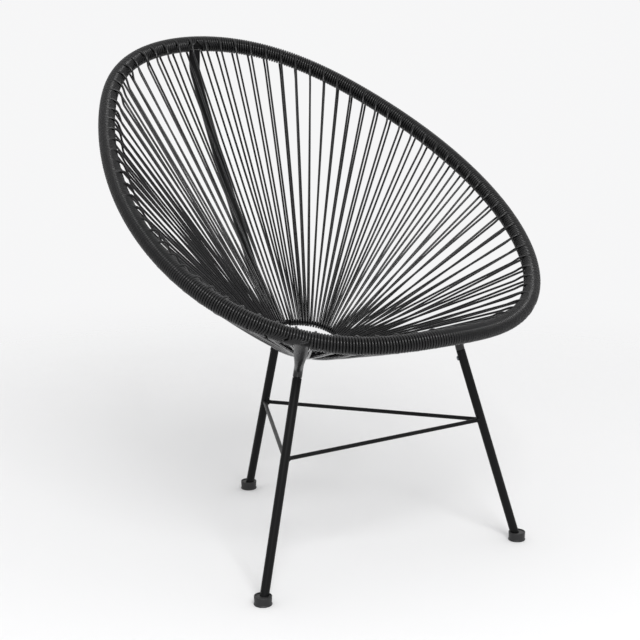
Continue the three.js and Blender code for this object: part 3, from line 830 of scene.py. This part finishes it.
class ChairSizes(bpy.types.PropertyGroup):
    """Sizes that a user may change"""

    cord_diameter: length_setting("Cord diameter", "Thickness of the plastic cord", 4.5 * MM)
    cord_sides: bpy.props.IntProperty(
        name="Cord sides", description="Faces round the cord", default=8, min=3)
    steps_in_turn: bpy.props.IntProperty(
        name="Steps in a turn", description="Steps in one turn of cord round the hoop", default=18, min=6)
    whole_turns: bpy.props.IntProperty(
        name="Turns between loops", description="Whole turns of cord on the hoop between two loops", default=6)
    strand_sag: length_setting("Strand sag", "How far a strand hangs at its middle", 2.6 * MM)
    strand_arch: length_setting(
        "Strand arch", "How far from the hoop a strand has settled into its straight run", 34 * MM)
    strand_rise: length_setting(
        "Strand rise", "How far a strand keeps its heading where it leaves the turns", 27 * MM)
    lift_angle: angle_setting(
        "Lift angle", "How long before the hoop's crest a strand leaves the turns", math.radians(42))
    lift_spread: angle_setting(
        "Lift spread", "How much the lift angle differs from strand to strand", math.radians(8))
    under_lift: share_setting(
        "Under lift", "How strongly a strand lifts off under the hoop, next to one over it", 0.36)
    strand_thinning: share_setting(
        "Strand thinning", "How much thinner the pulled strands are than the pressed turns", 0.08)
    tight_lift: share_setting(
        "Tight lift", "How strongly the strands lift on the sitter's left, next to the right", 0.62)
    turn_rock: length_setting("Turn rock", "How much the turns stray from even spacing", 0.16 * MM)
    ring_stray: length_setting(
        "Ring stray", "How much the loops stray from even spacing on the centre ring", 0.4 * MM)
    bow_length: length_setting(
        "Bow length", "How far from an arm or the spine the turns still bow round it", 45 * MM)
    hoop_diameter: length_setting("Hoop tube", "Diameter of the hoop's tube", 22 * MM)
    ring_rod_diameter: length_setting("Ring rod", "Diameter of the centre ring's rod", 8 * MM)
    leg_diameter: length_setting("Leg tube", "Diameter of the leg tubes", 16 * MM)
    stretcher_diameter: length_setting("Stretcher rod", "Diameter of the stretchers", 7.3 * MM)
    arm_width: length_setting("Arm width", "Width of an arm where it is pressed flat", 24 * MM)
    arm_thickness: length_setting("Arm thickness", "Thickness of an arm where it is pressed flat", 10 * MM)
    spine_diameter: length_setting("Spine tube", "Diameter of the spine along the back", 19 * MM)
    spine_head_width: length_setting("Spine head", "Width of the spine's pressed head", 22.5 * MM)


class ChairFinishes(bpy.types.PropertyGroup):
    """Colours and roughness of the finishes"""

    cord_colour: colour_setting("Cord colour", "Charcoal plastic cord", (0.0036, 0.0036, 0.0040))
    cord_roughness: share_setting("Cord roughness", "Roughness of the cord", 0.21)
    coat_colour: colour_setting("Coat colour", "Powder coat on the steel", (0.0048, 0.0048, 0.0052))
    coat_roughness: share_setting("Coat roughness", "Roughness of the powder coat", 0.42)
    # The arms' colour is the powder coat made a touch lighter, as part of the painted reflection on the arms.
    arm_colour: colour_setting("Arm colour", "Glossier coat on the pressed arms", (0.0052, 0.0052, 0.0056))
    arm_roughness: share_setting("Arm roughness", "Roughness of the arms' coat", 0.3)
    glide_colour: colour_setting("Glide colour", "Plastic of the foot glides", (0.012, 0.012, 0.013))
    glide_roughness: share_setting("Glide roughness", "Roughness of the foot glides", 0.5)
    screw_colour: colour_setting("Screw colour", "Zinc on the screws", (0.27, 0.28, 0.30))
    screw_roughness: share_setting("Screw roughness", "Roughness of the screws", 0.33)


class ChairStage(bpy.types.PropertyGroup):
    """Floor, light and camera"""

    floor_colour: colour_setting("Floor colour", "Pale floor", (0.865, 0.865, 0.87))
    backdrop_colour: colour_setting("Backdrop colour", "Pale world seen past the floor", (0.925, 0.925, 0.93))
    floor_near: length_setting(
        "Floor fades from", "How far out the floor starts to fade into the backdrop", 0.7)
    floor_far: length_setting("Floor fades to", "Where the floor has faded into the backdrop", 2.1)
    world_light: bpy.props.FloatProperty(
        name="World light", description="Strength of the even light from all round", default=0.78, min=0)
    key_power: power_setting("Key light", "Power of the soft lamp in front and above", 175.0)
    front_power: power_setting("Front light", "Power of the soft lamp at camera height", 15.0)
    camera_place: bpy.props.FloatVectorProperty(
        name="Camera place", description="Where the camera stands", subtype="TRANSLATION", size=3,
        default=(-1.5679, -2.4719, 1.1053))
    camera_azimuth: angle_setting(
        "Camera azimuth", "Way the camera looks, from +Y towards +X", math.radians(32.84))
    camera_drop: angle_setting("Camera drop", "How far the camera looks down", math.radians(13.585))
    camera_lens: bpy.props.FloatProperty(
        name="Camera lens", description="Focal length on a 36 mm sensor, in millimetres", default=90.75)


# Shapes of the frame's tubes, bars and turned parts

def welded_bar(name, start, end, radius, weld_depths):
    """A straight bar that swells into a small weld where it meets what it is welded to."""
    length = (end - start).length
    reaches = [-WELD_INSIDE]
    reaches += [WELD_REACH * step / WELD_STEPS - WELD_START for step in range(WELD_STEPS + 1)]
    runs = sorted({round(weld_depths[0] + reach, 6) for reach in reaches}
                  | {round(length - weld_depths[1] - reach, 6) for reach in reaches})
    girth = []
    for run in runs:
        clear = min(run - weld_depths[0], length - weld_depths[1] - run)
        girth.append(1 + WELD_SWELL * max(0.0, 1 - max(0.0, clear) / WELD_FADE) ** 2)
    points = [start.lerp(end, run / length) for run in runs]
    return bar(name, points, radius, WELDED_SIDES, np.array(girth))


def pressed_tube(name, points, flat_way, shape):
    """A tube along points whose section goes from pressed flat to round, from just inside the hoop."""
    start_run = settings().hoop_diameter / 2 - HEAD_INSET
    rings = []
    for index, (point, run) in enumerate(zip(points, runs_of(points))):
        if run < start_run:
            continue
        travel = way(points[max(index - 1, 0)], points[min(index + 1, len(points) - 1)])
        width_way = (flat_way - travel * flat_way.dot(travel)).normalized()
        width, thickness, round_share = shape(run)
        rings.append(ring_round(point, width_way, travel.cross(width_way), width / 2, thickness / 2,
                                TUBE_SIDES, round_share))
    return loft(name, rings)


def spigot_diameter():
    return settings().leg_diameter - 2 * (LEG_WALL + SPIGOT_GAP)


def spine_corners():
    """The spine's corners: the hoop's top, the head's bend, the pull of its bow, its knee and its end."""
    _, foot, rise, top, _ = leg_lines()[2]
    rim_top = Vector(hoop_place(0.0)[0])
    head_height = rim_top.z - settings().hoop_diameter / 2 - SPINE_HEAD_DROP
    head = Vector((0, rim_top.y + SPINE_HEAD_BACK, head_height))
    knee = foot + rise * SPINE_KNEE_HEIGHT
    chord = way(head, knee)
    bow = head.lerp(knee, 0.5) + Vector((0, -chord.z, chord.y)) * SPINE_BOW
    return rim_top, head, bow, knee, foot + rise * (top - SPIGOT_LENGTH)


def turned_shape(name, profile, sides, sharp_degrees):
    """A shape turned round +Z from its half section in millimetres."""
    rings = []
    for radius, height in profile:
        radius = max(radius, 0.01) * MM
        rings.append([Vector((radius * math.cos(FULL_TURN * index / sides),
                              radius * math.sin(FULL_TURN * index / sides), height * MM))
                      for index in range(sides)])
    return loft(name, rings, sharp_degrees=sharp_degrees)


def copies(name, shape, points, axes, material):
    guide = guide_mesh(name, points, {"axis": np.array([tuple(axis) for axis in axes])})
    piece = grown(name, guide, copies_tree(), {"Shape": shape, "Material": material})
    mesh = shape.data
    bpy.data.objects.remove(shape)
    bpy.data.meshes.remove(mesh)
    return piece


def soft_lamp(name, place, target, size, power):
    data = bpy.data.lights.new(name, "AREA")
    data.shape = "RECTANGLE"
    data.size, data.size_y = size
    data.energy = power
    lamp = placed(name, data)
    lamp.location = place
    lamp.rotation_euler = (target - Vector(place)).to_track_quat("-Z", "Y").to_euler()


# Operators

class CHAIR_OT_cord(bpy.types.Operator):
    """Winds the cord on the hoop and strings its loops to the centre ring"""

    bl_idname = "chair.cord"
    bl_label = "Cord"

    def execute(self, context):
        tree = winding_tree()
        material = material_for("cord_plastic")
        winder = CordWinder()
        first = 0
        for number, count in enumerate(PANEL_LOOPS, start=1):
            piece = winder.panel(f"cord_winding_{number}", first, count, tree, material)
            dress(piece, material, "cord", f"cord_panel_{number}")
            first += count
        return {"FINISHED"}


class CHAIR_OT_hoop(bpy.types.Operator):
    """Makes the round tube of the hoop, under the cord"""

    bl_idname = "chair.hoop"
    bl_label = "Hoop"

    def execute(self, context):
        centres = hoop_frame(np.linspace(0, 1, HOOP_STEPS, endpoint=False))[0]
        piece = bar("hoop_tube", centres, settings().hoop_diameter / 2, BAR_SIDES, closed=True)
        dress(piece, material_for("powder_coat"), "frame_coat", "rim_hoop")
        return {"FINISHED"}


class CHAIR_OT_ring(bpy.types.Operator):
    """Makes the centre ring and the short bar that holds it to the spine"""

    bl_idname = "chair.ring"
    bl_label = "Centre ring"

    def execute(self, context):
        points = [ring_point(FULL_TURN * index / RING_STEPS) for index in range(RING_STEPS)]
        ring = bar("ring_rod", points, settings().ring_rod_diameter / 2, BAR_SIDES, closed=True)
        dress(ring, material_for("powder_coat"), "frame_coat", "centre_ring")
        _, _, bow, knee, _ = spine_corners()
        start = knee + way(knee, bow) * TONGUE_START
        tongue = welded_bar("ring_hold_bar", start, Vector(ring_point(0)), TONGUE_RADIUS, TONGUE_WELDS)
        dress(tongue, material_for("powder_coat"), "frame_coat", "ring_tongue")
        return {"FINISHED"}


class CHAIR_OT_spine(bpy.types.Operator):
    """Makes the spine from the hoop's top down the back to the rear leg"""

    bl_idname = "chair.spine"
    bl_label = "Spine"

    def execute(self, context):
        size = settings()
        rim_top, head, bow, knee, end = spine_corners()
        head_start, head_end = bend_ends(rim_top, head, bow, SPINE_HEAD_BEND)
        knee_start, knee_end = bend_ends(bow, knee, end, SPINE_KNEE_BEND)
        pieces = list(zip(((rim_top, head_start), (head_start, head, head_end), (head_end, bow, knee_start),
                           (knee_start, knee, knee_end), (knee_end, end)), SPINE_STEPS))
        neck_run, knee_length = (runs_of(joined_curve(part))[-1] for part in (pieces[:3], pieces[3:4]))
        head_run = (rim_top - head).length

        def shape(run):
            flat = (run - head_run / 2) / head_run
            thick = blend(size.spine_diameter, spigot_diameter(), (run - neck_run) / knee_length)
            return (blend(size.spine_head_width, thick, flat), blend(SPINE_HEAD_THICKNESS, thick, flat),
                    blend(HEAD_SQUARENESS, 1, flat))

        piece = pressed_tube("spine_bow", joined_curve(pieces), Vector((1, 0, 0)), shape)
        dress(piece, material_for("powder_coat"), "frame_coat", "spine_tube")
        return {"FINISHED"}


class CHAIR_OT_arms(bpy.types.Operator):
    """Makes the two flat-headed arms that hold the hoop's front"""

    bl_idname = "chair.arms"
    bl_label = "Arms"

    def execute(self, context):
        size = settings()
        for name, foot, rise, top, _ in leg_lines()[:2]:
            centre, along, _, _ = (Vector(row) for row in hoop_place(arm_share(foot)))
            corner, neck, shoulder, end = (foot + rise * (top + height) for height in (
                ARM_CORNER, SPIGOT_GAP + ARM_NECK, SPIGOT_GAP, -SPIGOT_LENGTH))
            bend_start, bend_end = bend_ends(centre, corner, end, ARM_BEND)
            pieces = list(zip(((centre, bend_start), (bend_start, corner, bend_end), (bend_end, neck),
                               (neck, shoulder), (shoulder, end)), ARM_STEPS))
            taper = (centre - bend_start).length
            neck_run = runs_of(joined_curve(pieces[:3]))[-1]

            def shape(run):
                share = run / taper
                rounding = (share - ARM_ROUNDS) / (1 - ARM_ROUNDS)
                necked = min(max((run - neck_run) / (neck - shoulder).length, 0), 1)
                stem = size.leg_diameter + (spigot_diameter() - size.leg_diameter) * necked
                return (blend(size.arm_width, stem, (share - ARM_NARROWS) / (1 - ARM_NARROWS)),
                        blend(size.arm_thickness, stem, rounding), blend(HEAD_SQUARENESS, 1, rounding))

            piece = pressed_tube(f"arm_tube_{name}", joined_curve(pieces), along, shape)
            # The arms get the copy of the coat with the painted reflection.
            dress(piece, material_for("arm_painted_reflection_coat"), "frame_coat", f"arm_{name}")
        return {"FINISHED"}


class CHAIR_OT_legs(bpy.types.Operator):
    """Makes the three leg tubes with their open tops"""

    bl_idname = "chair.legs"
    bl_label = "Legs"

    def execute(self, context):
        outer = settings().leg_diameter / 2
        bore = outer - LEG_WALL
        for name, foot, rise, top, _ in leg_lines():
            travel = rise.normalized()
            across = Vector((0, 0, 1)).cross(travel).normalized()
            bottom, length = LEG_BOTTOM / travel.z, (rise * top).length
            section = ((bottom, outer), (length / 2, outer), (length - LEG_EDGE, outer),
                       (length - LEG_EDGE / 3, outer - LEG_EDGE / 3), (length, outer - LEG_EDGE),
                       (length, bore + LEG_EDGE / 2), (length - LEG_EDGE, bore), (length / 2, bore),
                       (bottom, bore))
            rings = [ring_round(foot + travel * run, across, travel.cross(across), radius, radius, TUBE_SIDES)
                     for run, radius in section]
            piece = loft(f"leg_tube_{name}", rings, closed=True, sharp_degrees=50)
            dress(piece, material_for("powder_coat"), "frame_coat", f"leg_{name}")
        return {"FINISHED"}


class CHAIR_OT_stretchers(bpy.types.Operator):
    """Makes the three thin rods welded between the legs"""

    bl_idname = "chair.stretchers"
    bl_label = "Stretchers"

    def execute(self, context):
        heights = (STRETCHER_FRONT, STRETCHER_FRONT, STRETCHER_REAR)
        left, right, rear = (foot + rise * height
                             for (_, foot, rise, _, _), height in zip(leg_lines(), heights))
        splay = Vector((STRETCHER_SPLAY, 0, 0))
        radius, depth = settings().stretcher_diameter / 2, settings().leg_diameter / 2
        for name, start, end in (("front", left, right), ("left", left, rear - splay),
                                 ("right", right, rear + splay)):
            piece = welded_bar(f"stretcher_rod_{name}", start, end, radius, (depth, depth))
            dress(piece, material_for("powder_coat"), "frame_coat", f"stretcher_{name}")
        return {"FINISHED"}


class CHAIR_OT_glides(bpy.types.Operator):
    """Makes the plastic cups under the legs"""

    bl_idname = "chair.glides"
    bl_label = "Foot glides"

    def execute(self, context):
        shape = turned_shape("glide_shape", GLIDE_PROFILE, 64, 60)
        material = material_for("glide_plastic")
        feet = [foot for _, foot, _, _, _ in leg_lines()]
        piece = copies("foot_cups", shape, feet, [Vector((0, 0, 1))] * 3, material)
        dress(piece, material, "glide", *(f"foot_glide_{name}" for name, *_ in leg_lines()))
        return {"FINISHED"}


class CHAIR_OT_screws(bpy.types.Operator):
    """Makes the screws through the leg tops"""

    bl_idname = "chair.screws"
    bl_label = "Leg screws"

    def execute(self, context):
        shape = turned_shape("screw_shape", SCREW_PROFILE, 24, 30)
        seats, outs = [], []
        for _, foot, rise, top, side in leg_lines():
            travel = rise.normalized()
            out = (side - travel * side.dot(travel)).normalized()
            seats.append(foot + rise * (top - SCREW_DROP) + out * (settings().leg_diameter / 2))
            outs.append(out)
        material = material_for("zinc_steel")
        piece = copies("screws", shape, seats, outs, material)
        dress(piece, material, "screw", *(f"leg_screw_{name}" for name, *_ in leg_lines()))
        return {"FINISHED"}


class CHAIR_OT_stage(bpy.types.Operator):
    """Sets the pale floor, the soft light and the camera"""

    bl_idname = "chair.stage"
    bl_label = "Stage"

    def execute(self, context):
        stage = context.scene.chair_stage
        self.lay_floor(stage)
        self.light_world(context.scene, stage)
        middle = Vector((0, 0, 0.5))
        soft_lamp("key_lamp", (-1.45, -4.0, 4.33), middle, (2.2, 1.8), stage.key_power)
        soft_lamp("front_lamp", (-2.5, -3.2, 1.5), middle, (1.0, 1.0), stage.front_power)
        self.set_camera(context.scene, stage)
        context.scene.view_settings.view_transform = "Standard"
        return {"FINISHED"}

    def lay_floor(self, stage):
        """A matt floor that fades into the backdrop."""
        half = stage.floor_far + 1
        corners = [(-half, -half, 0), (half, -half, 0), (half, half, 0), (-half, half, 0)]
        floor = new_piece("floor", corners, [(0, 1, 2, 3)])
        material = bpy.data.materials.new("pale_floor")
        material.use_nodes = True
        tree = material.node_tree
        place = add_node(tree, "ShaderNodeTexCoord")["Object"]
        out = add_node(tree, "ShaderNodeVectorMath", {0: place}, operation="LENGTH")["Value"]
        alpha = add_node(tree, "ShaderNodeMapRange", {
            "Value": out, "From Min": stage.floor_near, "From Max": stage.floor_far,
            "To Min": 1.0, "To Max": 0.0,
        }, interpolation_type="SMOOTHSTEP")["Result"]
        feed(tree, tree.nodes["Principled BSDF"], {
            "Base Color": (*stage.floor_colour, 1), "Roughness": 0.85, "Specular IOR Level": 0.1,
            "Alpha": alpha})
        floor.data.materials.append(material)

    def light_world(self, scene, stage):
        """Even light, and a pale backdrop for the camera and for reflections."""
        world = bpy.data.worlds.new("pale_world")
        world.use_nodes = True
        scene.world = world
        tree = world.node_tree
        tree.nodes.clear()
        light, seen = (
            add_node(tree, "ShaderNodeBackground", {"Color": colour, "Strength": strength})["Background"]
            for colour, strength in (((1, 1, 1, 1), stage.world_light), ((*stage.backdrop_colour, 1), 1.0)))
        rays = add_node(tree, "ShaderNodeLightPath")
        either = scalar_math(tree, "MAXIMUM", rays["Is Camera Ray"], rays["Is Glossy Ray"])
        either = scalar_math(tree, "MAXIMUM", either, rays["Is Transmission Ray"])
        mix = add_node(tree, "ShaderNodeMixShader", {"Fac": either, 1: light, 2: seen})["Shader"]
        add_node(tree, "ShaderNodeOutputWorld", {"Surface": mix})

    def set_camera(self, scene, stage):
        data = bpy.data.cameras.new("photo_camera")
        data.sensor_width = 36
        data.lens = stage.camera_lens
        data.clip_end = 200
        camera = placed("photo_camera", data)
        level = math.cos(stage.camera_drop)
        forward = Vector((math.sin(stage.camera_azimuth) * level, math.cos(stage.camera_azimuth) * level,
                          -math.sin(stage.camera_drop)))
        camera.location = stage.camera_place
        camera.rotation_euler = forward.to_track_quat("-Z", "Y").to_euler()
        scene.camera = camera


PIECE_OPERATORS = (CHAIR_OT_cord, CHAIR_OT_hoop, CHAIR_OT_ring, CHAIR_OT_spine, CHAIR_OT_arms,
                   CHAIR_OT_legs, CHAIR_OT_stretchers, CHAIR_OT_glides, CHAIR_OT_screws, CHAIR_OT_stage)


class CHAIR_PT_sidebar(bpy.types.Panel):
    """Lists the chair's pieces and their settings"""

    bl_idname = "CHAIR_PT_sidebar"
    bl_label = "Acapulco chair"
    bl_space_type = "VIEW_3D"
    bl_region_type = "UI"
    bl_category = "Chair"

    def draw(self, context):
        layout = self.layout
        for operator in PIECE_OPERATORS:
            layout.operator(operator.bl_idname)
        for group in (context.scene.chair_sizes, context.scene.chair_finishes, context.scene.chair_stage):
            box = layout.box()
            for label in group.__annotations__:
                box.prop(group, label)


CLASSES = (ChairSizes, ChairFinishes, ChairStage, *PIECE_OPERATORS, CHAIR_PT_sidebar)


def register():
    for entry in CLASSES:
        bpy.utils.register_class(entry)
    bpy.types.Scene.chair_sizes = bpy.props.PointerProperty(type=ChairSizes)
    bpy.types.Scene.chair_finishes = bpy.props.PointerProperty(type=ChairFinishes)
    bpy.types.Scene.chair_stage = bpy.props.PointerProperty(type=ChairStage)


def unregister():
    del bpy.types.Scene.chair_stage
    del bpy.types.Scene.chair_finishes
    del bpy.types.Scene.chair_sizes
    for entry in reversed(CLASSES):
        bpy.utils.unregister_class(entry)


def main():
    register()
    bpy.ops.chair.cord()
    bpy.ops.chair.hoop()
    bpy.ops.chair.ring()
    bpy.ops.chair.spine()
    bpy.ops.chair.arms()
    bpy.ops.chair.legs()
    bpy.ops.chair.stretchers()
    bpy.ops.chair.glides()
    bpy.ops.chair.screws()
    bpy.ops.chair.stage()


if __name__ == "__main__":
    main()
